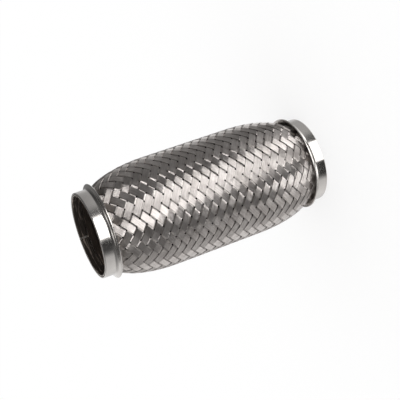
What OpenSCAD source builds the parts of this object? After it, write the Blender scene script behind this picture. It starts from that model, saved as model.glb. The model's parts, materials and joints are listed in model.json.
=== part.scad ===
// Exhaust flex pipe: a woven steel sleeve over a corrugated tube and a strip-wound
// liner, held at both ends in flared collars. It stands on its outlet end, with the
// pipe axis along +Z and the origin at the centre of the outlet rim.

/* [Overall] */
// Length from rim to rim
overall_len = 152; // [120:1:260]
// Bore of the end sleeves, which takes the exhaust pipe
bore_d = 50; // [40:0.5:76]
// Radial play between pieces that are pressed together
seat_gap = 0.05; // [0.02:0.01:0.1]

/* [End sleeves] */
// Wall of the rolled sleeve inside each neck
sleeve_wall = 0.5; // [0.4:0.1:0.8]
// Depth of the sleeve from the rim
sleeve_len = 5.5; // [4:0.5:9]
// Width of the butt seam where the rolled sleeve closes
seam_w = 1.2; // [0.5:0.1:3]

/* [Collars] */
// Sheet thickness of the pressed collars
collar_wall = 0.8; // [0.6:0.1:1.2]
// Straight length of the neck
neck_len = 6.2; // [5:0.1:12]
// Inside radius of the bend from the neck to the lip
flare_r = 2.2; // [1.5:0.1:3]
// Angle through which the lip is turned out
flare_turn = 68; // [50:1:80]
// How far the lip stands out from the neck
lip_rise = 3.15; // [2.8:0.05:5]

/* [Braid] */
// Ribbons wound in each direction
ribbons_each_way = 24; // [16:2:28]
// Thickness of one ribbon
ribbon_t = 0.2; // [0.15:0.05:0.3]
// Gap between neighbouring ribbons
ribbon_gap = 0.7; // [0.3:0.1:1.2]
// Distance along the axis from one crossing to the next in the same row
crossing_pitch = 6; // [5.6:0.1:9]
// Turn of the weave about the axis
weave_turn = -83.5; // [-180:0.5:180]
// How far the barrel stands out from the necks
barrel_rise = 7.5; // [6:0.1:12]
// Length over which the braid swells to its full diameter
shoulder_len = 36.8; // [28:0.1:50]
// Roundness of the swelling, near 1 for a blunt shoulder
shoulder_fullness = 1.087; // [1.05:0.001:1.3]
// Thickness of the woven wall, from its crowns to its inside
braid_wall = 0.9; // [0.8:0.05:1.2]
// Depth of the valleys where the ribbons meet, below the crowns
valley_depth = 0.7; // [0.4:0.05:0.7]
// How far the braid ends short of the rim
tail_setback = 3; // [1:0.5:5]
// Distance along the axis from the lip to where the braid starts to swell
lip_clearance = 0.6; // [0.2:0.1:2]

/* [Bellows] */
// Wall of the corrugated tube
bellows_wall = 0.3; // [0.2:0.05:0.4]
// Number of corrugations
convolutions = 22; // [16:1:24]
// Plain length at each end
cuff_len = 17.4; // [16:0.1:24]
// Room between the crests and the braid
crest_gap = 0.4; // [0.3:0.05:1]

/* [Liner] */
// Thickness of the wound strip
strip_t = 0.35; // [0.25:0.05:0.4]
// Space between the folds of the seam
fold_gap = 0.15; // [0.1:0.05:0.3]
// Length of one turn along the axis
turn_pitch = 4.8; // [4:0.1:7]
// Slot between neighbouring bands of the strip
band_gap = 0.8; // [0.4:0.1:1.2]
// Radial play of the liner inside the cuffs
liner_gap = 0.1; // [0.05:0.05:0.2]

/* [Hidden] */
$fn = 96;
ARC_STEPS = 6;

// Radii of the stack in each neck, from the bore outwards
bore_r = bore_d / 2;
cuff_in_r = bore_r + sleeve_wall + seat_gap;
cuff_mid_r = cuff_in_r + bellows_wall / 2;
cuff_out_r = cuff_in_r + bellows_wall;
tail_t = 2 * ribbon_t;
tail_in_r = cuff_out_r + seat_gap;
tail_out_r = tail_in_r + tail_t;
collar_in_r = tail_out_r + seat_gap;
neck_r = collar_in_r + collar_wall;

// Collar section: the bend's centre and the middle of the lip's round edge
bend_mid_r = flare_r + collar_wall / 2;
bend_centre = [neck_r + flare_r, neck_len];
bend_end = bend_centre + bend_mid_r * [-cos(flare_turn), sin(flare_turn)];
lip_mid_r = neck_r + lip_rise - collar_wall / 2;
lip_edge = bend_end + (lip_mid_r - bend_end.x) * [1, 1 / tan(flare_turn)];
collar_len = lip_edge.y + collar_wall / 2;

// Weave: rows around the axis and columns along it, one opening at every other place
barrel_max_r = neck_r + barrel_rise;
braid_exit = collar_len + lip_clearance;
shoulder_drop = (barrel_max_r - tail_out_r) / (1 - sqrt(1 - pow(1 / shoulder_fullness, 2)));
woven_len = overall_len - 2 * braid_exit;
rows = 2 * ribbons_each_way;
columns = 2 * round(woven_len / crossing_pitch);
column_step = woven_len / columns;
row_arc = barrel_max_r * 2 * PI / rows;
ribbon_pitch = 2 * row_arc * column_step / norm([row_arc, column_step]);
gap_share = ribbon_gap / ribbon_pitch;

// Bellows and liner spacing
conv_pitch = (overall_len - 2 * cuff_len) / convolutions;
conv_r = conv_pitch / 4;
liner_end = sleeve_len + seat_gap;
liner_len = overall_len - 2 * liner_end;
turns = round((liner_len + band_gap) / turn_pitch);
turn_step = (liner_len + band_gap) / turns;
band_len = turn_step - band_gap - strip_t;
band_out_r = cuff_in_r - liner_gap - strip_t / 2;
fold_mid_r = band_out_r - strip_t - fold_gap;
band_in_r = fold_mid_r - strip_t - fold_gap;

// Points of an arc about centre c, from angle a to angle b
function arc(c, r, a, b) =
    [for (i = [0 : ARC_STEPS]) let (t = a + (b - a) * i / ARC_STEPS) c + r * [cos(t), sin(t)]];

// Unit vector square to the line from a to b
function across(a, b) = let (d = (b - a) / norm(b - a)) [-d.y, d.x];

// The line in path, moved sideways by d to its left
function beside(path, d) =
    let (last = len(path) - 1)
    [for (i = [0 : last])
        let (
            before = across(path[max(i, 1) - 1], path[max(i, 1)]),
            after = across(path[min(i, last - 1)], path[min(i, last - 1) + 1])
        ) path[i] + (before + after) * d / (1 + before * after)];

function reversed(list) = [for (i = [len(list) - 1 : -1 : 0]) list[i]];

// Outline of a sheet of thickness t that follows the middle line in path, with the
// points in tip, if any, round its far end
function sheet(path, t, tip = []) = concat(beside(path, t / 2), tip, reversed(beside(path, -t / 2)));

// Puts the outlet end's piece at the inlet end, upside down
module at_inlet() {
    translate([0, 0, overall_len]) mirror([0, 0, 1]) children();
}

// Pressed collar: neck, bend and turned-out lip with a round edge
module collar() {
    neck_mid_r = collar_in_r + collar_wall / 2;
    section = concat([[neck_mid_r, 0]],
                     arc(bend_centre, bend_mid_r, 180, 180 - flare_turn),
                     [lip_edge]);
    edge = arc(lip_edge, collar_wall / 2, 180 - flare_turn, -flare_turn);
    tip = [for (i = [1 : ARC_STEPS - 1]) edge[i]];
    rotate_extrude() polygon(sheet(section, collar_wall, tip));
}

module outlet_collar() {
    color("silver") collar();
}

module inlet_collar() {
    color("silver") at_inlet() collar();
}

// Rolled sleeve with an open butt seam
module sleeve() {
    sleeve_out_r = bore_r + sleeve_wall;
    difference() {
        rotate_extrude() translate([bore_r, 0]) square([sleeve_wall, sleeve_len]);
        translate([-seam_w / 2, 0, -sleeve_len / 2]) cube([seam_w, 2 * sleeve_out_r, 2 * sleeve_len]);
    }
}

module outlet_sleeve() {
    color("gainsboro") sleeve();
}

module inlet_sleeve() {
    color("gainsboro") at_inlet() sleeve();
}

// Distance along the axis from the nearer end of the woven length
function from_exit(z) = max(0, min(z - braid_exit, overall_len - braid_exit - z));

// Radius of the braid's crowns at height z: an elliptical shoulder at each end
function crown_r(z) =
    let (x = max(0, 1 - from_exit(z) / shoulder_len) / shoulder_fullness)
    barrel_max_r - shoulder_drop * (1 - sqrt(1 - x * x));

// Share of the full relief and thickness, which fade in from the clamped tail
function relief(z) = min(1, from_exit(z) / (2 * column_step));

// Radius of the inside of the woven wall, kept clear of the cuff at the flats' middle
function inside_r(z) =
    let (tail = tail_in_r / cos(180 / rows))
    tail + (crown_r(z) - tail_out_r) - (braid_wall - tail_t) * relief(z);

function column_z(j) = braid_exit + j * column_step;

// Point at row n and column j of the weave, at a depth below the crowns
function weave_point(n, j, depth) =
    let (z = column_z(j), a = weave_turn + n * 360 / rows, r = crown_r(z) - depth * relief(z))
    [r * cos(a), r * sin(a), z];

function ring(r, z) =
    [for (n = [0 : rows - 1]) let (a = weave_turn + n * 360 / rows) [r * cos(a), r * sin(a), z]];

// Two triangles for the four corners of a patch
function patch(a, b, c, d) = [[a, b, c], [a, c, d]];

// Each crossing carries the flat crown of the ribbon on top. Ribbons pass over two
// and under two, so the top ribbon's hand depends on the row alone, and each crown
// runs on into the crossing before or after it.
function right_handed(n) = n % 4 >= 2;
function runs_on(n, j) = (n % 4 == 1 || n % 4 == 2) && j < columns - 1;
function runs_back(n, j) = (n % 4 == 0 || n % 4 == 3) && j > 1;

// The woven wall as one closed surface
module outer_braid() {
    half = rows / 2;
    // Crossings of column j, by row
    function crossing_row(i, j) = 2 * i + (j + 1) % 2;

    // Openings between the ribbons, then the points that fill the two straight edges
    openings = [for (j = [0 : columns]) for (i = [0 : half - 1])
        weave_point(2 * i + j % 2, j, valley_depth)];
    edges = [for (j = [0, columns]) for (i = [0 : half - 1]) weave_point(2 * i + 1, j, 0)];

    // Corners of each crown: along the ribbon by p, across it by q
    crowns = [for (j = [1 : columns - 1]) for (i = [0 : half - 1])
        let (
            n = crossing_row(i, j),
            hand = right_handed(n) ? 1 : -1,
            front = runs_on(n, j) ? 0.5 : 0.5 - gap_share / 2,
            back = runs_back(n, j) ? -0.5 : -0.5 + gap_share / 2,
            side = 0.5 - gap_share / 2
        )
        for (c = [[back, -side], [front, -side], [front, side], [back, side]])
            weave_point(n + hand * (c.x - c.y), j + c.x + c.y, 0)];

    // Inside of the wall and the clamped tails, ring by ring from the outlet end
    inside_columns = [for (j = [0 : 2 : columns])
        if (j % 4 == 0 || j < 8 || j > columns - 8) j];
    tail_ends = [tail_setback, overall_len - tail_setback];
    rings = concat(
        ring(tail_out_r, tail_ends[0]),
        ring(inside_r(tail_ends[0]), tail_ends[0]),
        [for (j = inside_columns) each ring(inside_r(column_z(j)), column_z(j))],
        ring(inside_r(tail_ends[1]), tail_ends[1]),
        ring(tail_out_r, tail_ends[1]));

    edge_start = len(openings);
    crown_start = edge_start + len(edges);
    ring_start = crown_start + len(crowns);
    ring_count = len(rings) / rows;

    function opening(n, j) = j * half + floor((n + rows) % rows / 2);
    function edge(n, j) = edge_start + (j == 0 ? 0 : half) + floor(n % rows / 2);
    function crown(n, j, c) = crown_start + 4 * ((j - 1) * half + floor((n + rows) % rows / 2)) + c;
    // A crown that runs back takes its first two corners from the crossing before it
    function corner(n, j, c) =
        let (hand = right_handed(n) ? 1 : -1)
        runs_back(n, j) && (c == 0 || c == 3)
            ? crown(n - hand, j - 1, c == 0 ? 1 : 2)
            : crown(n, j, c);

    crown_faces = [for (j = [1 : columns - 1]) for (i = [0 : half - 1])
        let (
            n = crossing_row(i, j),
            hand = right_handed(n) ? 1 : -1,
            o = [opening(n, j - 1), opening(n + hand, j), opening(n, j + 1), opening(n - hand, j)],
            c = [for (k = [0 : 3]) corner(n, j, k)],
            patches = concat(
                patch(c[0], c[1], c[2], c[3]),
                patch(o[0], o[1], c[1], c[0]),
                patch(c[3], c[2], o[2], o[3]),
                runs_on(n, j) ? [] : patch(o[1], o[2], c[2], c[1]),
                runs_back(n, j) ? [] : patch(o[3], o[0], c[0], c[3]))
        )
        for (f = patches) hand > 0 ? f : [f[2], f[1], f[0]]];

    // Triangles between the first and last crossings and the straight edges
    edge_faces = [for (i = [0 : half - 1])
        let (n = 2 * i + 1)
        each [
            [opening(n - 1, 0), edge(n, 0), opening(n, 1)],
            [edge(n, 0), opening(n + 1, 0), opening(n, 1)],
            [edge(n, columns), opening(n - 1, columns), opening(n, columns - 1)],
            [opening(n + 1, columns), edge(n, columns), opening(n, columns - 1)]]];

    // The rings in order, from the woven edge at the outlet to the one at the inlet
    function ring_point(k, n) =
        k < 0 || k == ring_count
            ? let (j = k < 0 ? 0 : columns) (n % 2 == 0 ? opening(n, j) : edge(n, j))
            : ring_start + k * rows + n % rows;
    ring_faces = [for (k = [-1 : ring_count - 1]) for (n = [0 : rows - 1])
        each patch(ring_point(k, n), ring_point(k + 1, n),
                   ring_point(k + 1, n + 1), ring_point(k, n + 1))];

    faces = concat(crown_faces, edge_faces, ring_faces);
    color("lightgray")
        polyhedron(concat(openings, edges, crowns, rings), [for (f = faces) [f[2], f[1], f[0]]]);
}

// Corrugated tube: a plain cuff at each end, and crests that follow the braid
module bellows() {
    function crest_r(z) =
        min(inside_r(z - conv_r), inside_r(z + conv_r)) * cos(180 / rows) - crest_gap - bellows_wall / 2;
    root_r = cuff_mid_r + conv_r;
    section = concat(
        [[cuff_mid_r, 0]],
        [for (k = [0 : convolutions - 1])
            let (z = cuff_len + k * conv_pitch, crest = crest_r(z + conv_pitch / 2) - conv_r)
            each concat(
                arc([root_r, z], conv_r, 180, 90),
                arc([crest, z + conv_pitch / 2], conv_r, -90, 90),
                [for (i = [0 : ARC_STEPS - 1]) arc([root_r, z + conv_pitch], conv_r, 270, 180)[i]])],
        [[cuff_mid_r, overall_len - cuff_len], [cuff_mid_r, overall_len]]);
    color("darkgray") rotate_extrude() polygon(sheet(section, bellows_wall));
}

// Strip-wound liner: inner and outer bands, hooked together by folds between them
module interlock_liner() {
    first = liner_end + strip_t / 2;
    section = [for (k = [0 : turns - 1])
        let (
            z = first + k * turn_step,
            outer = z + turn_step / 2,
            band = [[band_in_r, z], [band_in_r, z + band_len]],
            hook = [[fold_mid_r, z + band_len], [fold_mid_r, outer],
                    [band_out_r, outer], [band_out_r, outer + band_len],
                    [fold_mid_r, outer + band_len], [fold_mid_r, z + turn_step]]
        )
        each k < turns - 1 ? concat(band, hook) : band];
    color("dimgray") rotate_extrude() polygon(sheet(section, strip_t));
}

outlet_collar();
inlet_collar();
outlet_sleeve();
inlet_sleeve();
outer_braid();
bellows();
interlock_liner();
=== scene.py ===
"""Looks of a braided exhaust flex pipe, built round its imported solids.

The pipe stands on its outlet rim. +Z runs from the outlet to the inlet, and the side that is seen
faces -Y. Lengths are in metres, and names that end in _mm are in millimetres.
"""

import json
import math

import bmesh
import bpy
from bpy.props import FloatProperty, FloatVectorProperty, IntProperty, PointerProperty
from mathutils import Matrix, Vector


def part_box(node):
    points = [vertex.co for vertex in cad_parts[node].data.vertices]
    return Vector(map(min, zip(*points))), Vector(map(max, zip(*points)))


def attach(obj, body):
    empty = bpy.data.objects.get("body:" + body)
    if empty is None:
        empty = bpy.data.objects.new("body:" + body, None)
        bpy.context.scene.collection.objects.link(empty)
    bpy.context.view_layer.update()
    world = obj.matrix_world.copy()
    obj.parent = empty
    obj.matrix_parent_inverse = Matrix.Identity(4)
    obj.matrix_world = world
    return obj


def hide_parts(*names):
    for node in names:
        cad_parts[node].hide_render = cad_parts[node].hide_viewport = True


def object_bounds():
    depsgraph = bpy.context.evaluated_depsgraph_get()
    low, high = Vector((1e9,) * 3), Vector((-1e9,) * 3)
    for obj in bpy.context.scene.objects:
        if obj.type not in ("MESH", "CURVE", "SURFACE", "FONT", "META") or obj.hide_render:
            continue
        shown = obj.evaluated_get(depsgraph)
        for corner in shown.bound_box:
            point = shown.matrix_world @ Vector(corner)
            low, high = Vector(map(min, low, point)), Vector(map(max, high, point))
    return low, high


bl_info = {
    "name": "Exhaust Flex Pipe",
    "version": (1, 0, 0),
    "blender": (4, 5, 0),
    "location": "View3D > Sidebar > Flex Pipe",
    "description": "Dresses the solids of a braided exhaust flex pipe and sets its stage",
    "category": "Object",
}

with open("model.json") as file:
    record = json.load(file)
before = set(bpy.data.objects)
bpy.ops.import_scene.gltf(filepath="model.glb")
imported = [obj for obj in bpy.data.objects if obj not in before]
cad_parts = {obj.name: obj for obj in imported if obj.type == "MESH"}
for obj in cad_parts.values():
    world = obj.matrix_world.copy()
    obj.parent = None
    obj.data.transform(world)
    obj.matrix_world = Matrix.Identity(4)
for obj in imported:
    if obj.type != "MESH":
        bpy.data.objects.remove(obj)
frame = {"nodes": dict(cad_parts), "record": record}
CAD_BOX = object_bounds()
PIPE_LENGTH = CAD_BOX[1].z
COLLAR_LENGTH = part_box("outlet_collar")[1].z
LIP_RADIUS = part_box("outlet_collar")[1].x
BARREL_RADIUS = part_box("outer_braid")[1].x
SLEEVE_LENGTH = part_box("outlet_sleeve")[1].z
MOUNTS = {mount["name"]: mount for mount in frame["record"]["mounts"]}
NECK_RADIUS = MOUNTS["outlet_neck"]["dims"]["r_mm"] / 1000
BORE_RADIUS = MOUNTS["outlet_socket"]["dims"]["r_mm"] / 1000

# The two pieces of the braid: name, hand, and a row at which its floats have their middle
HANDS = (("right_hand_ribbons", 1.0, 2.5), ("left_hand_ribbons", -1.0, 0.5))

# Mesh steps round a collar, in its bend, round a sleeve, along a sleeve, and in a rounded edge
COLLAR_STEPS, BEND_STEPS, SLEEVE_STEPS, SLEEVE_ROWS, EDGE_STEPS = 240, 10, 180, 6, 3
# Rings near the rim of a collar's neck, and the gap from its last ring to the bend, which keep
# its shading straight
RIM_RINGS = (0.0, 0.0006, 0.0008)
BEND_GAP = 0.0004
# Corners that are rounded on turned sheets, and corners shaded sharp on them and on ribbons
ROUNDED_CORNER, SHEET_CORNER, RIBBON_CORNER = math.radians(50), math.radians(35), math.radians(40)

# The light tent is what the steel mirrors. The light of a cloth or card is its brightness by angle
# round the pipe, in degrees from the side that is seen, times its share by reach, in metres from
# the neck's foot along the floor, up the wall and over the roof.

# Cloth that the two necks mirror: the floor at the foot of the pipe, and the foot of the wall
NECK_BY_ANGLE = ((-90, 0.75), (-74, 0.72), (-66, 0.5), (-38, 0.52), (-33, 0.42), (-27, 0.17),
                 (-21, 0.15), (10, 0.1), (13, 0.05), (26, 0.05), (30, 0.2), (36, 0.75), (50, 0.92),
                 (60, 0.97), (74, 0.8), (90, 0.75))
NECK_BY_REACH = ((0.0, 1.0), (0.018, 1.0), (0.026, 0.0), (0.37, 0.0), (0.4, 1.0), (0.45, 1.0),
                 (0.53, 0.0), (1.2, 0.0))
# The rest of the floor, which most of the barrel mirrors
FLOOR_BY_ANGLE = ((-90, 1.2), (-74, 1.1), (-62, 0.25), (-45, 0.2), (-30, 0.08), (10, 0.05),
                  (13, 0.05), (26, 0.05), (32, 0.25), (38, 0.55), (50, 0.95), (60, 1.0), (74, 0.85),
                  (90, 0.75))
FLOOR_BY_REACH = ((0.0, 0.0), (0.018, 0.0), (0.026, 1.0), (0.37, 1.0), (0.4, 0.0), (1.2, 0.0))
# The rest of the wall, which the inlet's shoulder mirrors
HIGH_BY_ANGLE = ((-90, 0.25), (-78, 0.2), (-60, 0.08), (-50, 0.06), (-30, 0.14), (-5, 0.09),
                 (20, 0.07), (45, 0.3), (75, 0.95), (90, 1.0))
HIGH_BY_REACH = ((0.0, 0.0), (0.45, 0.0), (0.53, 1.0), (0.84, 1.0), (1.1, 0.0), (1.2, 0.0))
# The top of the wall and the edge of the roof
ROOF_BY_ANGLE = ((-90, 0.12), (90, 0.12))
ROOF_BY_REACH = ((0.0, 0.0), (0.84, 0.0), (1.1, 1.0), (1.2, 1.0), (1.25, 0.0))
# A sloping card round the foot of the pipe, which the outlet's lip and shoulder mirror. All of it
# is marked with one reach, and the roof past that reach has the same light
FLAG_REACH = 1.3
FLAG_BY_ANGLE = ((-90, 0.75), (-42, 1.0), (-28, 2.4), (-20, 0.4), (-12, 0.15), (-6, 0.4), (2, 0.15),
                 (8, 0.25), (16, 2.0), (24, 2.2), (32, 0.8), (40, 0.7), (50, 0.45), (60, 1.0),
                 (90, 0.9))
FLAG_BY_REACH = ((0.0, 0.0), (1.25, 0.0), (FLAG_REACH, 1.0))
# Two bright cards on the floor just outside it, which the outlet's shoulder mirrors
NEAR_BY_ANGLE = ((-90, 0.0), (-42, 0.0), (-32, 2.4), (-22, 2.0), (-14, 0.0), (6, 0.0), (14, 0.4),
                 (19, 3.6), (28, 3.6), (34, 0.4), (40, 0.0), (90, 0.0))
NEAR_BY_REACH = ((0.0, 0.0), (0.017, 0.0), (0.02, 1.0), (0.03, 1.0), (0.038, 0.0), (1.2, 0.0))
CLOTHS = ((NECK_BY_REACH, NECK_BY_ANGLE), (FLOOR_BY_REACH, FLOOR_BY_ANGLE),
          (HIGH_BY_REACH, HIGH_BY_ANGLE), (ROOF_BY_REACH, ROOF_BY_ANGLE),
          (FLAG_BY_REACH, FLAG_BY_ANGLE), (NEAR_BY_REACH, NEAR_BY_ANGLE))
# The softbox, a bright stripe along the pipe: its brightness and the angles of its edges by reach
BOX_BY_REACH = ((0.0, 2.6), (0.018, 2.6), (0.026, 1.6), (0.076, 0.4), (0.1, 1.6), (0.13, 5.4),
                (0.45, 5.4), (0.5, 2.4), (0.6, 0.9), (0.7, 0.45), (0.8, 0.0), (1.2, 0.0))
BOX_LEFT_BY_REACH = ((0.0, -19.4), (0.02, -19.4), (0.13, -21.0), (0.22, -26.0), (0.37, -24.0),
                     (0.4, -19.4), (0.45, -19.4), (0.52, -13.0), (0.7, -10.0), (1.2, -10.0))
BOX_RIGHT_BY_REACH = ((0.0, 8.4), (0.018, 8.4), (0.03, 0.0), (0.08, -8.0), (0.13, -5.0), (0.2, 0.0),
                      (0.27, 6.0), (0.32, 12.0), (0.37, 12.0), (0.4, 8.4), (0.45, 8.4), (0.52, 13.0),
                      (0.68, -4.0), (1.2, -4.0))
# Half the width of its soft edges, in degrees
BOX_EDGE = 1.0
# A colour ramp holds no negative value, so it holds the edges as degrees from the tent's seam, which
# is behind the pipe
SEAM_ANGLE = -90

# The tent's mesh: bands round the pipe, rows on the floor and on the wall, height over the floor and
# hole in the roof. Then the inner and the outer edge of the sloping card: distance from the neck and
# height
TENT_BANDS, TENT_ROWS, TENT_LIFT, ROOF_HOLE = 72, 8, 0.0003, 0.02
FLAG_EDGES = ((0.0003, 0.006), (0.0177, 0.0006))
FLOOR_SEGMENTS = 96
# Share of the floor's white that doesn't depend on the light, for the rays that show it
FLOOR_GLOW = 0.7
SENSOR_MM = 36.0

# Kinds of node that are often added. A range node takes a value, from low, from high, to low, to high
MATH, VECTOR, RANGE = "ShaderNodeMath", "ShaderNodeVectorMath", "ShaderNodeMapRange"
JOIN, SPLIT = "ShaderNodeCombineXYZ", "ShaderNodeSeparateXYZ"
NOISE, MIX, SHADER = "ShaderNodeTexNoise", "ShaderNodeMix", "ShaderNodeBsdfPrincipled"


def linear(hex_colour):
    """The linear red, green and blue of an sRGB hex colour."""
    shares = [int(hex_colour[i:i + 2], 16) / 255 for i in (1, 3, 5)]
    return [s / 12.92 if s <= 0.04045 else ((s + 0.055) / 1.055) ** 2.4 for s in shares]


def size(name, description, default):
    """A length that a user may change, in metres."""
    return FloatProperty(name=name, description=description, default=default, min=0.0,
                         unit="LENGTH", precision=5)


def turn(name, description, degrees):
    """An angle that a user may change."""
    return FloatProperty(name=name, description=description, default=math.radians(degrees),
                         subtype="ANGLE")


def colour(name, description, hex_colour):
    """A colour that a user may change."""
    return FloatVectorProperty(name=name, description=description, default=linear(hex_colour),
                               subtype="COLOR", min=0.0, max=1.0)


class FLEXPIPE_PG_braid(bpy.types.PropertyGroup):
    """Sizes of the woven sleeve."""
    ribbons: IntProperty(name="Ribbons", description="Ribbons wound in each hand", default=24, min=8)
    columns: IntProperty(name="Crossings", description="Crossings along one ribbon, from lip to lip",
                         default=44, min=8)
    steps: IntProperty(name="Steps", description="Mesh steps from one crossing to the next",
                       default=12, min=2)
    wires: IntProperty(name="Wires", description="Wires laid side by side in one ribbon",
                       default=8, min=1)
    ribbon_width: size("Ribbon width", "Width of one ribbon", 0.0041)
    ribbon_thickness: size("Ribbon thickness", "Thickness of one ribbon", 0.00028)
    lift: size("Lift", "How far a ribbon rises over, or dips under, the middle of the weave", 0.00018)
    tail_lift: size("Tail lift", "The same in the tail that the collar clamps", 0.0001)
    tail_setback: size("Tail setback", "From the rim to the end of the ribbons", 0.003)
    lip_clearance: size("Lip clearance", "From the collar's lip to the first crossing", 0.0006)
    tail_radius: size("Tail radius", "Outer radius of the tail under the collar", 0.0263)
    shoulder_length: size("Shoulder length", "Length over which the barrel swells", 0.0368)
    fullness: FloatProperty(name="Shoulder fullness", default=1.087, min=1.01,
                            description="How slowly the barrel leaves the lip: larger is slimmer")
    weave_turn: turn("Weave turn", "Angle of the first row of crossings", -83.5)
    flatness: FloatProperty(name="Flatness", default=0.9, min=0.0, max=1.0,
                            description="0: a ribbon is as round as the barrel. "
                                        "1: it is flat over each ribbon that it crosses")
    unevenness: size("Unevenness", "How far a ribbon strays from its line", 0.0001)


class FLEXPIPE_PG_ends(bpy.types.PropertyGroup):
    """Sizes of the collars and of the sleeves inside them."""
    collar_wall: size("Collar wall", "Sheet thickness of the collars", 0.0008)
    neck_length: size("Neck length", "Straight part of the collar", 0.0062)
    flare_radius: size("Flare radius", "Outer radius of the bend from neck to lip", 0.0022)
    flare_turn: turn("Flare turn", "How far the lip turns out", 68)
    edge_round: size("Edge rounding", "Rounding of the collar's cut edges", 0.00018)
    sleeve_wall: size("Sleeve wall", "Sheet thickness of the sleeves", 0.0005)
    seam_width: size("Seam width", "Gap between the butted ends of a sleeve", 0.0012)


class FLEXPIPE_PG_finish(bpy.types.PropertyGroup):
    """Colours of the steels."""
    collar: colour("Collar", "Satin pressed stainless sheet", "#CFCBC7")
    ribbon: colour("Ribbon", "Bright drawn stainless wire", "#DAD4D0")
    ribbon_dull: colour("Ribbon, dulled", "Where drawing grease has dulled the wires", "#A29A95")
    # Partly grease and partly painted shade: this dark edge colour stands in for the shadow in the gaps
    # between ribbons
    ribbon_edge_grease_and_shade: colour("Ribbon edge", "Grease that stays in the gaps between ribbons", "#4A4440")
    sleeve: colour("Sleeve", "Rolled stainless strip", "#6E665F")
    liner: colour("Liner", "Wound strip, straw-brown from forming", "#61564E")
    # Painted shade: the tube is darkened so that the gaps in the braid, through which it shows, look
    # dark
    bellows: colour("Bellows", "Tube, dark from annealing", "#1E1B19")
    cuff: colour("Cuff", "End of the tube, bright from clamping", "#EDE6DF")
    floor: colour("Floor", "Plain pale floor", "#FFFFFF")


class FLEXPIPE_PG_studio(bpy.types.PropertyGroup):
    """Camera and light."""
    camera_place: FloatVectorProperty(name="Camera", description="Where the camera stands",
                                      default=(0.0, -0.57073, 0.27272), subtype="TRANSLATION")
    camera_aim: FloatVectorProperty(name="Aim", description="The point in the middle of the picture",
                                    default=(-0.0022, 0.0, 0.0773), subtype="TRANSLATION")
    camera_roll: turn("Camera roll", "How far the camera is turned about its line of sight", -109.6)
    lens: FloatProperty(name="Lens", description="Focal length in millimetres", default=86.67)
    tent_reach: size("Tent reach", "From the pipe to the wall of the light tent", 0.4)
    tent_height: size("Tent height", "Height of the light tent", 0.7)
    floor_radius: size("Floor radius", "Radius of the floor", 6.0)


class FLEXPIPE_PG_settings(bpy.types.PropertyGroup):
    """All settings of the pipe."""
    braid: PointerProperty(type=FLEXPIPE_PG_braid)
    ends: PointerProperty(type=FLEXPIPE_PG_ends)
    finish: PointerProperty(type=FLEXPIPE_PG_finish)
    studio: PointerProperty(type=FLEXPIPE_PG_studio)


def add(tree, kind, *values, named=None, **settings):
    """A new node with its settings. Values go to its inputs in order, or by name: a node or socket is
    linked, None is passed over, and anything else is the input's own value."""
    node = tree.nodes.new(kind)
    for key, value in settings.items():
        setattr(node, key, value)
    pairs = list(zip([s for s in node.inputs if s.enabled], values))
    pairs += [(node.inputs[key], value) for key, value in (named or {}).items()]
    for socket, value in pairs:
        if isinstance(value, bpy.types.Node):
            value = next(s for s in value.outputs if s.enabled)
        if isinstance(value, bpy.types.NodeSocket):
            tree.links.new(value, socket)
        elif value is not None:
            socket.default_value = value
    return node


def new_material(name):
    """An empty node material, its tree and its output node."""
    material = bpy.data.materials.new(name)
    material.use_nodes = True
    material.node_tree.nodes.clear()
    return material, material.node_tree, material.node_tree.nodes.new("ShaderNodeOutputMaterial")


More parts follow.
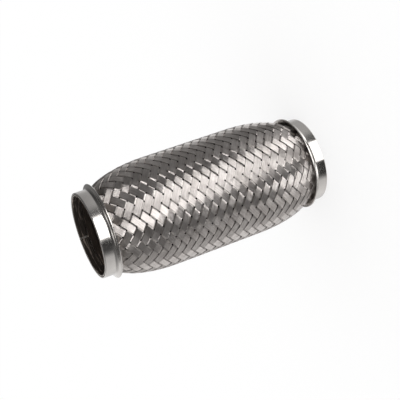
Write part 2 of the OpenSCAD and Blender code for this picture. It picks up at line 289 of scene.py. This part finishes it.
def drawn_wire_steel():
    """Bright drawn stainless wire, laid side by side in flat ribbons. Its round wires spread light
    across the ribbon only, so a ribbon flashes white or goes dark from one crossing to the next, with
    fine lines along it. Grease dulls it in patches. Its edges are darkened, partly by grease and partly
    as painted shade for the gaps between ribbons."""
    finish, braid = bpy.context.scene.flex_pipe.finish, bpy.context.scene.flex_pipe.braid
    material, tree, output = new_material("drawn_wire_steel")
    place = add(tree, "ShaderNodeUVMap", uv_map="ribbon_mm")

    # Lines from the drawing die. Real ones are finer than 0.1 mm, too fine to show in the render, so
    # they are drawn as coarse as a wire
    line_length_mm, line_mm, patch_mm = 9.0, 0.5, 14.0
    drawn = add(tree, VECTOR, place, (1 / line_length_mm, 1 / line_mm, 0), operation="MULTIPLY")
    grain = add(tree, NOISE, drawn, named={"Scale": 1.0, "Detail": 2.0, "Roughness": 0.5})
    gloss = add(tree, RANGE, grain, 0.3, 0.7, 0.32, 0.35)

    # Dull patches and lines, and a dark edge along each ribbon that is partly grease and partly painted
    # shade
    stain = add(tree, NOISE, add(tree, "ShaderNodeTexCoord").outputs["Object"],
                named={"Scale": 1000 / patch_mm, "Detail": 3.0, "Roughness": 0.55})
    patches = add(tree, RANGE, stain, 0.35, 0.7, 0.0, 0.4)
    lines = add(tree, RANGE, grain, 0.4, 0.65, 0.0, 0.35)
    dulled = add(tree, MATH, patches, lines, operation="ADD")
    tint = add(tree, MIX, dulled, (*finish.ribbon, 1), (*finish.ribbon_dull, 1), data_type="RGBA")
    # Painted shade, partly grease: each ribbon is darkened towards its edges, where the gaps between
    # ribbons lie in shadow
    edge_mm, grease_and_shade_mm, grease_and_shade = 500 * braid.ribbon_width, 0.25, 0.6
    across = add(tree, SPLIT, place).outputs["Y"]
    from_middle = add(tree, MATH, across, operation="ABSOLUTE")
    grease_and_shade_mask = add(tree, RANGE, from_middle, edge_mm - grease_and_shade_mm, edge_mm, 0.0, grease_and_shade)
    tint = add(tree, MIX, grease_and_shade_mask, tint, (*finish.ribbon_edge_grease_and_shade, 1), data_type="RGBA")

    # Round wires: the surface leans 45 degrees at the sides of each where the roundness is 1
    wire_mm, roundness = 1000 * braid.ribbon_width / braid.wires, 1.0
    in_wires = add(tree, MATH, across, wire_mm, operation="DIVIDE")
    in_wire = add(tree, MATH, in_wires, operation="FRACT")
    leaning = add(tree, MATH, in_wire, roundness, 0.5 - roundness / 2, operation="MULTIPLY_ADD")
    lean = add(tree, JOIN, 0.5, leaning, 1.0)
    round_wire = add(tree, "ShaderNodeNormalMap", named={"Strength": 1.0, "Color": lean},
                     uv_map="ribbon_mm")
    along = add(tree, "ShaderNodeTangent", direction_type="UV_MAP", uv_map="ribbon_mm")
    shader = add(tree, SHADER, named={
        "Base Color": tint, "Metallic": 1.0, "Roughness": gloss, "Normal": round_wire,
        "Anisotropic": 1.0, "Anisotropic Rotation": 0.25, "Tangent": along})
    tree.links.new(shader.outputs[0], output.inputs[0])
    return material


def pressed_sheet_steel():
    """Satin stainless sheet, pressed and turned: clean bands of light with a soft edge, broken by
    fine lines that run round the neck."""
    material, tree, output = new_material("pressed_sheet_steel")
    place = add(tree, "ShaderNodeTexCoord").outputs["Object"]

    # Polishing lines. Real ones are finer than 0.1 mm, too fine to show in the render, so they are
    # drawn as coarse as it takes to break the light
    line_length_mm, line_mm, patch_mm = 25.0, 0.25, 9.0
    round_neck = (1000 / line_length_mm, 1000 / line_length_mm, 1000 / line_mm)
    squeezed = add(tree, VECTOR, place, round_neck, operation="MULTIPLY")
    lines = add(tree, NOISE, squeezed, named={"Scale": 1.0, "Detail": 2.0, "Roughness": 0.6})
    bump = add(tree, "ShaderNodeBump", named={"Strength": 0.15, "Distance": 0.00003, "Height": lines})

    # Handled patches, a little darker and duller
    handled = 0.88
    cloud = add(tree, NOISE, place, named={"Scale": 1000 / patch_mm, "Detail": 3.0, "Roughness": 0.5})
    gloss = add(tree, RANGE, cloud, 0.3, 0.7, 0.16, 0.22)
    base = Vector(bpy.context.scene.flex_pipe.finish.collar)
    tint = add(tree, MIX, cloud, (*base, 1), (*(handled * base), 1), data_type="RGBA")
    shader = add(tree, SHADER, named={
        "Base Color": tint, "Metallic": 1.0, "Roughness": gloss, "Normal": bump})
    tree.links.new(shader.outputs[0], output.inputs[0])
    return material


def dull_strip_steel(name, base, line_mm, roughness, metal, cuff=None):
    """Dull stainless strip or tube from inside an exhaust: soft, dark light in rings, thin painted
    highlights on some of the rings, and a dark cast that comes and goes. A cuff colour shows at the
    ends of the pipe."""
    material, tree, output = new_material(name)
    place = add(tree, "ShaderNodeTexCoord").outputs["Object"]

    # Rings from rolling. Real ones are finer, too fine to show in the render, so they are drawn
    # line_mm apart, and each breaks off after about 17 mm
    breaks_per_metre, gloss_spread = 60.0, 0.08
    round_bore = (breaks_per_metre, breaks_per_metre, 1000 / line_mm)
    squeezed = add(tree, VECTOR, place, round_bore, operation="MULTIPLY")
    rings = add(tree, NOISE, squeezed, named={"Scale": 1.0, "Detail": 3.0, "Roughness": 0.6})
    gloss = add(tree, RANGE, rings, 0.3, 0.7, roughness - gloss_spread, roughness + gloss_spread)
    bump = add(tree, "ShaderNodeBump", named={"Strength": 0.4, "Distance": 0.0001, "Height": rings})

    # The dark cast in patches, and painted highlights: thin light lines on some rings
    patch_mm, cast, ring_highlight_gain = 12.0, 0.55, 4.5
    cloud = add(tree, NOISE, place, named={"Scale": 1000 / patch_mm, "Detail": 3.0, "Roughness": 0.5})
    base = Vector(base)
    tint = add(tree, MIX, cloud, (*base, 1), (*(base * cast), 1), data_type="RGBA")
    # Painted highlights: some rings are lightened in colour, as though they caught the light
    ring_highlight_mask = add(tree, RANGE, rings, 0.54, 0.64, 0.0, 0.9)
    tint = add(tree, MIX, ring_highlight_mask, tint, (*(base * ring_highlight_gain), 1), data_type="RGBA")
    if cuff:
        end, fade = PIPE_LENGTH / 2 - SLEEVE_LENGTH, 0.001
        height = add(tree, SPLIT, place).outputs["Z"]
        from_middle = add(tree, MATH, height, PIPE_LENGTH / 2, operation="SUBTRACT")
        from_middle = add(tree, MATH, from_middle, operation="ABSOLUTE")
        at_end = add(tree, RANGE, from_middle, end - fade, end, 0.0, 1.0)
        tint = add(tree, MIX, at_end, tint, (*cuff, 1), data_type="RGBA")
    shader = add(tree, SHADER, named={
        "Base Color": tint, "Metallic": metal, "Roughness": gloss, "Normal": bump})
    tree.links.new(shader.outputs[0], output.inputs[0])
    return material


def new_object(name, mesh):
    """An object at the origin, in the scene."""
    thing = bpy.data.objects.new(name, mesh)
    bpy.context.scene.collection.objects.link(thing)
    return thing


def new_mesh(name, shape):
    """A mesh from a bmesh shape, which is freed."""
    mesh = bpy.data.meshes.new(name)
    shape.to_mesh(mesh)
    shape.free()
    return mesh


def baked(maker, name):
    """A plain mesh object from a maker object's modifiers. The maker is removed."""
    graph = bpy.context.evaluated_depsgraph_get()
    mesh = bpy.data.meshes.new_from_object(maker.evaluated_get(graph), depsgraph=graph)
    mesh.name = name
    bpy.data.objects.remove(maker)
    return new_object(name, mesh)


def dress(piece, slot, *nodes):
    """The piece stands for CAD nodes, which are hidden, and is hung on the root body. The slot is not
    used.
    """
    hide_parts(*nodes)
    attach(piece, "root")


def weave_tree():
    """Straight bars of ribbon, one for each ribbon of one hand, laid round the barrel as helices that
    go over two crossing ribbons and under the next two. A bar lies flat over each ribbon it crosses."""
    tree = bpy.data.node_groups.new("woven_ribbons", "GeometryNodeTree")
    tree.interface.new_socket("Geometry", in_out="OUTPUT", socket_type="NodeSocketGeometry")
    inputs = {
        "Int": ("Ribbons", "Columns", "Steps"),
        "Float": ("Hand", "Over row", "Width", "Thickness", "Lift", "Tail lift", "Tail rows", "Exit",
                  "Length", "Barrel radius", "Tail radius", "Shoulder drop", "Shoulder length",
                  "Fullness", "Weave turn", "Unevenness", "Flatness"),
        "Material": ("Material",),
    }
    for kind, names in inputs.items():
        for name in names:
            tree.interface.new_socket(name, in_out="INPUT", socket_type="NodeSocket" + kind)
    given = tree.nodes.new("NodeGroupInput").outputs

    # A bar with one end at each tail, and a copy of it for each ribbon
    rows = add(tree, MATH, given["Tail rows"], 2.0, given["Columns"], operation="MULTIPLY_ADD")
    rings = add(tree, MATH, rows, given["Steps"], 1.0, operation="MULTIPLY_ADD")
    section = add(tree, JOIN, given["Width"], given["Thickness"], 1.0)
    bar = add(tree, "GeometryNodeMeshCube", section, 2, 2, rings)
    points = add(tree, "GeometryNodePoints", given["Ribbons"])
    copies = add(tree, "GeometryNodeInstanceOnPoints", points, named={"Instance": bar})
    numbered = add(tree, "GeometryNodeStoreNamedAttribute", copies, None, "ribbon",
                   add(tree, "GeometryNodeInputIndex"), data_type="INT", domain="INSTANCE")
    bars = add(tree, "GeometryNodeRealizeInstances", numbered)

    # Place of a point along its bar, counted in crossings, and how far it is from the middle of its
    # float and of its crossing
    at = add(tree, SPLIT, add(tree, "GeometryNodeInputPosition"))
    half = add(tree, MATH, given["Columns"], 0.5, operation="MULTIPLY")
    spot = add(tree, MATH, at.outputs["Z"], rows, half, operation="MULTIPLY_ADD")
    number = add(tree, "GeometryNodeInputNamedAttribute", "ribbon", data_type="INT")
    first_row = add(tree, MATH, number, 2.0, 1.0, operation="MULTIPLY_ADD")
    spot_row = add(tree, MATH, spot, given["Hand"], first_row, operation="MULTIPLY_ADD")
    past_over = add(tree, MATH, spot_row, given["Over row"], operation="SUBTRACT")
    in_float = add(tree, MATH, past_over, 1.0, -1.0, operation="WRAP")
    past_crossing = add(tree, MATH, past_over, 0.5, operation="ADD")
    in_crossing = add(tree, MATH, past_crossing, 0.5, -0.5, operation="WRAP")
    past_middle = add(tree, MATH, in_crossing, given["Flatness"], operation="MULTIPLY")
    row = add(tree, MATH, spot_row, past_middle, operation="SUBTRACT")
    forward = add(tree, MATH, past_middle, given["Hand"], operation="MULTIPLY")
    column = add(tree, MATH, spot, forward, operation="SUBTRACT")

    # The barrel under the crossing: a chord from one side of the crossing to the other
    inner_length = add(tree, MATH, given["Exit"], -2.0, given["Length"], operation="MULTIPLY_ADD")
    step = add(tree, MATH, inner_length, given["Columns"], operation="DIVIDE")
    height = add(tree, MATH, column, step, given["Exit"], operation="MULTIPLY_ADD")
    spread = add(tree, MATH, given["Fullness"], given["Shoulder length"], operation="MULTIPLY")
    crowns = []
    for side in (-0.5, 0.5):
        end = add(tree, MATH, step, side, height, operation="MULTIPLY_ADD")
        above = add(tree, MATH, given["Length"], end, operation="SUBTRACT")
        nearer = add(tree, MATH, end, above, operation="MINIMUM")
        run = add(tree, MATH, nearer, given["Exit"], operation="SUBTRACT")
        outside = add(tree, "ShaderNodeClamp", run, 0.0, given["Shoulder length"])
        short = add(tree, MATH, given["Shoulder length"], outside, operation="SUBTRACT")
        share = add(tree, MATH, short, spread, operation="DIVIDE")
        square = add(tree, MATH, share, share, operation="MULTIPLY")
        rest = add(tree, MATH, 1.0, square, operation="SUBTRACT")
        root = add(tree, MATH, rest, operation="SQRT")
        sink = add(tree, MATH, 1.0, root, operation="SUBTRACT")
        drop = add(tree, MATH, sink, given["Shoulder drop"], operation="MULTIPLY")
        crowns.append(add(tree, MATH, given["Barrel radius"], drop, operation="SUBTRACT"))
    climb = add(tree, MATH, crowns[1], crowns[0], operation="SUBTRACT")
    both = add(tree, MATH, crowns[0], crowns[1], operation="ADD")
    crown = add(tree, MATH, both, 0.5, operation="MULTIPLY")

    # The middle of the wall there. The lift is full where the barrel has swollen by swell_mm
    swell_mm = 2.0
    past_exit = add(tree, MATH, crown, given["Tail radius"], operation="SUBTRACT")
    past_exit_mm = add(tree, MATH, past_exit, 1000.0, operation="MULTIPLY")
    lift = add(tree, RANGE, past_exit_mm, 0.0, swell_mm, given["Tail lift"], given["Lift"])
    half_wall = add(tree, MATH, given["Thickness"], 0.5, lift, operation="MULTIPLY_ADD")
    row_angle = add(tree, MATH, math.pi, given["Ribbons"], operation="DIVIDE")
    half_turn = add(tree, MATH, row_angle, 0.5, operation="MULTIPLY")
    bow = add(tree, MATH, half_turn, operation="COSINE")
    chord = add(tree, MATH, crown, bow, operation="MULTIPLY")
    radius = add(tree, MATH, chord, half_wall, operation="SUBTRACT")
    double = add(tree, MATH, radius, 2.0, operation="MULTIPLY")
    half_sine = add(tree, MATH, half_turn, operation="SINE")
    arc = add(tree, MATH, half_sine, double, operation="MULTIPLY")

    # Directions at the middle of the crossing: out of the barrel, along the ribbon and across it
    angle = add(tree, MATH, row, row_angle, given["Weave turn"], operation="MULTIPLY_ADD")
    cosine = add(tree, MATH, angle, operation="COSINE")
    sine = add(tree, MATH, angle, operation="SINE")
    against = add(tree, MATH, sine, -1.0, operation="MULTIPLY")
    around = add(tree, JOIN, against, cosine, 0.0)
    uphill = add(tree, JOIN, add(tree, MATH, cosine, climb, operation="MULTIPLY"),
                 add(tree, MATH, sine, climb, operation="MULTIPLY"), step)
    outward = add(tree, VECTOR, around, uphill, operation="CROSS_PRODUCT")
    upright = add(tree, VECTOR, outward, operation="NORMALIZE")
    sideways = add(tree, MATH, arc, given["Hand"], operation="MULTIPLY")
    turned_step = add(tree, VECTOR, around, named={"Scale": sideways}, operation="SCALE")
    ahead = add(tree, VECTOR, turned_step, uphill, operation="ADD")
    crosswise = add(tree, VECTOR, upright, ahead, operation="CROSS_PRODUCT")
    edgeward = add(tree, VECTOR, crosswise, operation="NORMALIZE")

    # How far a ribbon strays to its side and in its pitch, in times the unevenness. The noise is read
    # at a place of its own for each crossing, ribbon and hand
    by_column, by_ribbon, by_hand = 0.35, 3.7, 5.3
    aside_times, pitch_times = 4.0, 3.0
    stray_place = add(tree, JOIN, add(tree, MATH, column, by_column, operation="MULTIPLY"),
                      add(tree, MATH, number, by_ribbon, operation="MULTIPLY"),
                      add(tree, MATH, given["Hand"], by_hand, operation="MULTIPLY"))
    noise = add(tree, NOISE, stray_place, named={"Scale": 1.0, "Detail": 1.0, "Roughness": 0.5})
    centred = add(tree, VECTOR, noise.outputs["Color"], (0.5, 0.5, 0.5), operation="SUBTRACT")
    scaled = add(tree, VECTOR, centred, named={"Scale": given["Unevenness"]}, operation="SCALE")
    stray = add(tree, SPLIT, scaled).outputs
    aside = add(tree, MATH, stray["X"], aside_times, at.outputs["X"], operation="MULTIPLY_ADD")

    # A crossing ends along the sides of the ribbon that crosses there, so points slide along the bar
    # by their place across it
    pace = add(tree, VECTOR, ahead, operation="LENGTH").outputs["Value"]
    rise = add(tree, VECTOR, uphill, operation="LENGTH").outputs["Value"]
    wide = add(tree, MATH, arc, rise, operation="DIVIDE")
    narrow = add(tree, MATH, rise, arc, operation="DIVIDE")
    skewed = add(tree, MATH, wide, narrow, operation="SUBTRACT")
    double_pace = add(tree, MATH, pace, 2.0, operation="MULTIPLY")
    skew = add(tree, MATH, skewed, double_pace, operation="DIVIDE")
    skew_aside = add(tree, MATH, aside, skew, operation="MULTIPLY")
    slid = add(tree, MATH, skew_aside, given["Hand"], operation="MULTIPLY")
    along = add(tree, MATH, forward, slid, operation="SUBTRACT")

    # Over and under: level floats with a short dive at each end, shorter where dive is smaller
    dive = 0.01
    phase = add(tree, MATH, past_over, math.pi / 2, operation="MULTIPLY")
    wave = add(tree, MATH, phase, operation="COSINE")
    wave_square = add(tree, MATH, wave, wave, dive, operation="MULTIPLY_ADD")
    wave_size = add(tree, MATH, wave_square, operation="SQRT")
    level = add(tree, MATH, wave, wave_size, operation="DIVIDE")
    pitch = add(tree, MATH, in_float, pitch_times, operation="MULTIPLY")
    pitched = add(tree, MATH, stray["Y"], pitch, at.outputs["Y"], operation="MULTIPLY_ADD")
    raised = add(tree, MATH, level, lift, pitched, operation="MULTIPLY_ADD")
    place = add(tree, JOIN, add(tree, MATH, cosine, radius, operation="MULTIPLY"),
                add(tree, MATH, sine, radius, operation="MULTIPLY"), height)
    for direction, amount in ((ahead, along), (edgeward, aside), (upright, raised)):
        part = add(tree, VECTOR, direction, named={"Scale": amount}, operation="SCALE")
        place = add(tree, VECTOR, place, part, operation="ADD")

    # Millimetres along and across each ribbon, kept for its finish before the bars are bent: from the
    # length of a crossing, and with a start of its own for each ribbon
    crossing_mm, start_mm = 5.4, 37.0
    spot_mm = add(tree, MATH, spot, crossing_mm, operation="MULTIPLY")
    along_mm = add(tree, MATH, number, start_mm, spot_mm, operation="MULTIPLY_ADD")
    across_mm = add(tree, MATH, at.outputs["X"], 1000.0, operation="MULTIPLY")
    ribbon_mm = add(tree, JOIN, along_mm, across_mm, 0.0)
    marked = add(tree, "GeometryNodeStoreNamedAttribute", bars, None, "ribbon_mm", ribbon_mm,
                 data_type="FLOAT2", domain="CORNER")
    bent = add(tree, "GeometryNodeSetPosition", marked, None, place)
    smooth = add(tree, "GeometryNodeSetShadeSmooth", bent, None, True)
    edge_angle = add(tree, "GeometryNodeInputMeshEdgeAngle")
    corner = add(tree, MATH, edge_angle, RIBBON_CORNER, operation="GREATER_THAN")
    creased = add(tree, "GeometryNodeSetShadeSmooth", smooth, corner, False, domain="EDGE")
    whole = add(tree, "GeometryNodeRealizeInstances", creased)
    finished = add(tree, "GeometryNodeSetMaterial", whole, None, given["Material"])
    add(tree, "NodeGroupOutput", finished)
    return tree


class FLEXPIPE_OT_braid(bpy.types.Operator):
    """Weave the outer sleeve from ribbons of both hands"""
    bl_idname = "flexpipe.braid"
    bl_label = "Woven sleeve"

    def execute(self, context):
        braid = context.scene.flex_pipe.braid
        steel = drawn_wire_steel()
        tree = weave_tree()
        sockets = {item.name: item.identifier for item in tree.interface.items_tree
                   if item.in_out == "INPUT"}
        lip_exit = COLLAR_LENGTH + braid.lip_clearance
        column_step = (PIPE_LENGTH - 2 * lip_exit) / braid.columns
        tail_rows = round(2 * (lip_exit - braid.tail_setback) / column_step) / 2
        drop = (BARREL_RADIUS - braid.tail_radius) / (1 - math.sqrt(1 - braid.fullness ** -2))
        for name, hand, over_row in HANDS:
            maker = new_object(name + "_maker", bpy.data.meshes.new(name + "_maker"))
            weave = maker.modifiers.new("weave", "NODES")
            weave.node_group = tree
            for socket, value in {
                "Ribbons": braid.ribbons, "Columns": braid.columns, "Steps": braid.steps,
                "Hand": hand, "Over row": over_row,
                "Width": braid.ribbon_width, "Thickness": braid.ribbon_thickness,
                "Lift": braid.lift, "Tail lift": braid.tail_lift, "Tail rows": tail_rows,
                "Exit": lip_exit, "Length": PIPE_LENGTH,
                "Barrel radius": BARREL_RADIUS, "Tail radius": braid.tail_radius,
                "Shoulder drop": drop, "Shoulder length": braid.shoulder_length,
                "Fullness": braid.fullness, "Weave turn": braid.weave_turn,
                "Unevenness": braid.unevenness, "Flatness": braid.flatness, "Material": steel,
            }.items():
                weave[sockets[socket]] = value
            dress(baked(maker, name), "braid_steel", "outer_braid")
        return {"FINISHED"}


def turned(name, path, wall, edge_round, steps, seam=0.0):
    """A turned sheet: a path of (radius, height) points swept round the axis, given its wall and
    rounded edges. A seam leaves a gap of that width on the +Y side."""
    gap = seam / path[0][0]
    count = steps + 1 if gap else steps
    shape = bmesh.new()
    rings = []
    for i in range(count):
        a = math.pi / 2 + gap / 2 + (math.tau - gap) * i / steps
        rings.append([shape.verts.new((r * math.cos(a), r * math.sin(a), z)) for r, z in path])
    for i in range(steps):
        left, right = rings[i], rings[(i + 1) % count]
        for j in range(len(path) - 1):
            shape.faces.new((left[j], right[j], right[j + 1], left[j + 1]))
    bmesh.ops.recalc_face_normals(shape, faces=shape.faces)
    maker = new_object(name + "_maker", new_mesh(name + "_maker", shape))
    solidify = maker.modifiers.new("wall", "SOLIDIFY")
    solidify.thickness = wall
    solidify.offset = 0.0
    bevel = maker.modifiers.new("edges", "BEVEL")
    bevel.width = edge_round
    bevel.segments = EDGE_STEPS
    bevel.limit_method = "ANGLE"
    bevel.angle_limit = ROUNDED_CORNER
    piece = baked(maker, name)
    piece.data.shade_smooth()
    piece.data.set_sharp_from_angle(angle=SHEET_CORNER)
    return piece


class FLEXPIPE_OT_collars(bpy.types.Operator):
    """Press the flared collar of each end"""
    bl_idname = "flexpipe.collars"
    bl_label = "Collars"

    def execute(self, context):
        ends = context.scene.flex_pipe.ends
        steel = pressed_sheet_steel()
        half_wall = ends.collar_wall / 2
        middle = NECK_RADIUS - half_wall
        bend = ends.flare_radius + half_wall
        bend_middle = NECK_RADIUS + ends.flare_radius
        path = [(middle, z) for z in (*RIM_RINGS, ends.neck_length - BEND_GAP)]
        for i in range(BEND_STEPS + 1):
            a = ends.flare_turn * i / BEND_STEPS
            path.append((bend_middle - bend * math.cos(a), ends.neck_length + bend * math.sin(a)))
        path.append((LIP_RADIUS - half_wall, COLLAR_LENGTH - half_wall))
        for node in ("outlet_collar", "inlet_collar"):
            line = path if node == "outlet_collar" else [(r, PIPE_LENGTH - z) for r, z in path]
            piece = turned("pressed_" + node, line, ends.collar_wall, ends.edge_round, COLLAR_STEPS)
            piece.data.materials.append(steel)
            dress(piece, "collar_steel", node)
        return {"FINISHED"}


class FLEXPIPE_OT_sleeves(bpy.types.Operator):
    """Roll the sleeve inside each collar, with its butt seam"""
    bl_idname = "flexpipe.sleeves"
    bl_label = "Inner sleeves"

    def execute(self, context):
        settings = context.scene.flex_pipe
        wall, seam = settings.ends.sleeve_wall, settings.ends.seam_width
        steel = dull_strip_steel("rolled_strip_steel", settings.finish.sleeve, line_mm=1.2,
                                 roughness=0.42, metal=0.85)
        middle = BORE_RADIUS + wall / 2
        path = [(middle, SLEEVE_LENGTH * i / SLEEVE_ROWS) for i in range(SLEEVE_ROWS + 1)]
        for node in ("outlet_sleeve", "inlet_sleeve"):
            line = path if node == "outlet_sleeve" else [(r, PIPE_LENGTH - z) for r, z in path]
            piece = turned("rolled_" + node, line, wall, wall / 4, SLEEVE_STEPS, seam)
            piece.data.materials.append(steel)
            dress(piece, "sleeve_steel", node)
        return {"FINISHED"}


class FLEXPIPE_OT_core(bpy.types.Operator):
    """Finish the bellows and the wound liner, whose solids are shown as they are"""
    bl_idname = "flexpipe.core"
    bl_label = "Bellows and liner"

    def execute(self, context):
        finish = context.scene.flex_pipe.finish
        # The tube's dark colour is painted shade for the braid's gaps, through which it shows
        tube = dull_strip_steel("tube_steel_painted_dark", finish.bellows, line_mm=0.6, roughness=0.5,
                                metal=1.0, cuff=finish.cuff)
        strip = dull_strip_steel("wound_strip_steel", finish.liner, line_mm=0.8, roughness=0.45,
                                 metal=0.75)
        for node, steel in (("bellows", tube), ("interlock_liner", strip)):
            materials = frame["nodes"][node].data.materials
            materials.clear()
            materials.append(steel)
        return {"FINISHED"}


def tent_light():
    """Lit cloth of a light tent, with bright cards and a softbox in front: what the steel mirrors."""
    material, tree, output = new_material("light_tent_cloth")
    band = add(tree, SPLIT, add(tree, "ShaderNodeUVMap", uv_map="bands"))
    angle, reach = band.outputs["X"], band.outputs["Y"]
    wanted = [pair for cloth in CLOTHS for pair in zip((reach, angle), cloth)]
    wanted.append((reach, BOX_BY_REACH))
    for edge in (BOX_LEFT_BY_REACH, BOX_RIGHT_BY_REACH):
        wanted.append((reach, [(place, degrees - SEAM_ANGLE) for place, degrees in edge]))
    ramps = []
    for value, stops in wanted:
        low, high = stops[0][0], stops[-1][0]
        ramp = add(tree, "ShaderNodeValToRGB", add(tree, RANGE, value, low, high, 0.0, 1.0))
        elements = ramp.color_ramp.elements
        while len(elements) < len(stops):
            elements.new(0.5)
        for element, (place, level) in zip(elements, stops):
            element.position = (place - low) / (high - low)
            element.color = (level, level, level, 1)
        ramps.append(ramp)
    *cloths, box, left, right = ramps
    strength = 0.0
    for by_reach, by_angle in zip(cloths[::2], cloths[1::2]):
        strength = add(tree, MATH, by_reach, by_angle, strength, operation="MULTIPLY_ADD")
    from_seam = add(tree, MATH, angle, SEAM_ANGLE, operation="SUBTRACT")
    for near, far in ((left, from_seam), (from_seam, right)):
        inside = add(tree, MATH, far, near, operation="SUBTRACT")
        soft = add(tree, RANGE, inside, -BOX_EDGE, BOX_EDGE, 0.0, 1.0)
        box = add(tree, MATH, box, soft, operation="MULTIPLY")
    strength = add(tree, MATH, strength, box, operation="ADD")
    glow = add(tree, "ShaderNodeEmission", (1, 1, 1, 1), strength)
    tree.links.new(glow.outputs[0], output.inputs[0])
    return material


def set_camera(scene):
    """The camera, turned to its aim and then rolled about its line of sight."""
    studio = scene.flex_pipe.studio
    place = Vector(studio.camera_place)
    sight = (Vector(studio.camera_aim) - place).normalized()
    right = sight.cross(Vector((0, 0, 1))).normalized()
    level = Matrix((right, right.cross(sight), -sight)).transposed()
    rolled = level @ Matrix.Rotation(studio.camera_roll, 3, "Z")
    lens = bpy.data.cameras.new("camera")
    lens.lens = studio.lens
    lens.sensor_width = SENSOR_MM
    camera = new_object("camera", lens)
    camera.matrix_world = Matrix.Translation(place) @ rolled.to_4x4()
    scene.camera = camera


def lay_floor(scene):
    """Matt white paint on a wide floor: nearly as white as the background, with a pale shadow."""
    shape = bmesh.new()
    bmesh.ops.create_circle(shape, cap_ends=True, segments=FLOOR_SEGMENTS,
                            radius=scene.flex_pipe.studio.floor_radius)
    floor = new_object("floor", new_mesh("floor", shape))
    paint, tree, output = new_material("floor_paint")
    white = (*scene.flex_pipe.finish.floor, 1)
    ray = add(tree, "ShaderNodeLightPath").outputs
    seen = add(tree, MATH, ray["Is Camera Ray"], ray["Is Glossy Ray"], operation="MAXIMUM")
    seen = add(tree, MATH, seen, ray["Is Transmission Ray"], operation="MAXIMUM")
    share = add(tree, MATH, seen, FLOOR_GLOW, operation="MULTIPLY")
    mixed = add(tree, "ShaderNodeMixShader", share, add(tree, "ShaderNodeBsdfDiffuse", white),
                add(tree, "ShaderNodeEmission", white, 1.0))
    tree.links.new(mixed.outputs[0], output.inputs[0])
    floor.data.materials.append(paint)


def hang_tent(scene):
    """The light tent, which only mirrored rays see. Its columns start at the pipe and run out where
    the steel there sends the light, so each band of it shows at one angle all along the pipe."""
    studio = scene.flex_pipe.studio
    shape = bmesh.new()
    layer = shape.loops.layers.uv.new("bands")
    marks, columns, flags = {}, [], []
    for i in range(TENT_BANDS + 1):
        degrees = -90 + 180 * i / TENT_BANDS
        theta = math.radians(degrees)
        start = NECK_RADIUS * Vector((-math.sin(theta), -math.cos(theta), 0))
        out = Vector((-math.sin(2 * theta), -math.cos(2 * theta), 0))
        places = [start + out * studio.tent_reach * (j / TENT_ROWS) ** 2 + Vector((0, 0, TENT_LIFT))
                  for j in range(TENT_ROWS + 1)]
        foot = places[-1]
        places += [foot + Vector((0, 0, studio.tent_height * j / TENT_ROWS))
                   for j in range(1, TENT_ROWS + 1)]
        places.append((ROOF_HOLE * out.x, ROOF_HOLE * out.y, studio.tent_height))
        column = [shape.verts.new(place) for place in places]
        reach = 0.0
        for before, vert in zip([column[0], *column], column):
            reach += (vert.co - before.co).length
            marks[vert] = (degrees, reach)
        columns.append(column)
        flag = [shape.verts.new(start.normalized() * (NECK_RADIUS + away) + Vector((0, 0, z)))
                for away, z in FLAG_EDGES]
        marks.update({vert: (degrees, FLAG_REACH) for vert in flag})
        flags.append(flag)

    # The tent closes behind the pipe, and the sloping card is open there
    for strips, count in ((columns, TENT_BANDS + 1), (flags, TENT_BANDS)):
        for i in range(count):
            left, right = strips[i], strips[(i + 1) % len(strips)]
            for j in range(len(left) - 1):
                face = shape.faces.new((left[j], right[j], right[j + 1], left[j + 1]))
                for loop in face.loops:
                    loop[layer].uv = marks[loop.vert]
    tent = new_object("light_tent", new_mesh("light_tent", shape))
    tent.data.materials.append(tent_light())
    tent.visible_camera = False
    tent.visible_diffuse = False
    tent.visible_shadow = False
    tent.visible_transmission = False


def light_world(scene):
    """A plain white world, which lights the pipe and is the background."""
    world = bpy.data.worlds.new("white_studio")
    world.use_nodes = True
    world.node_tree.nodes.clear()
    sky = add(world.node_tree, "ShaderNodeBackground", (1, 1, 1, 1), 1.0)
    add(world.node_tree, "ShaderNodeOutputWorld", sky)
    scene.world = world


class FLEXPIPE_OT_stage(bpy.types.Operator):
    """Set up the camera, the floor, the light tent and the world"""
    bl_idname = "flexpipe.stage"
    bl_label = "Stage"

    def execute(self, context):
        context.scene.view_settings.view_transform = "Standard"
        set_camera(context.scene)
        lay_floor(context.scene)
        hang_tent(context.scene)
        light_world(context.scene)
        return {"FINISHED"}


class FLEXPIPE_PT_panel(bpy.types.Panel):
    """Lists the pieces of the pipe and their settings"""
    bl_idname = "FLEXPIPE_PT_panel"
    bl_label = "Exhaust Flex Pipe"
    bl_space_type = "VIEW_3D"
    bl_region_type = "UI"
    bl_category = "Flex Pipe"

    def draw(self, context):
        for operator in OPERATORS:
            self.layout.operator(operator.bl_idname)
        settings = context.scene.flex_pipe
        for group in (settings.braid, settings.ends, settings.finish, settings.studio):
            box = self.layout.box()
            for name in group.__annotations__:
                box.prop(group, name)


OPERATORS = (FLEXPIPE_OT_stage, FLEXPIPE_OT_braid, FLEXPIPE_OT_collars, FLEXPIPE_OT_sleeves,
             FLEXPIPE_OT_core)
CLASSES = (FLEXPIPE_PG_braid, FLEXPIPE_PG_ends, FLEXPIPE_PG_finish, FLEXPIPE_PG_studio,
           FLEXPIPE_PG_settings, *OPERATORS, FLEXPIPE_PT_panel)


def register():
    for cls in CLASSES:
        bpy.utils.register_class(cls)
    bpy.types.Scene.flex_pipe = PointerProperty(type=FLEXPIPE_PG_settings)


def unregister():
    del bpy.types.Scene.flex_pipe
    for cls in reversed(CLASSES):
        bpy.utils.unregister_class(cls)


def main():
    register()
    bpy.ops.flexpipe.stage()
    bpy.ops.flexpipe.braid()
    bpy.ops.flexpipe.collars()
    bpy.ops.flexpipe.sleeves()
    bpy.ops.flexpipe.core()


if __name__ == "__main__":
    main()
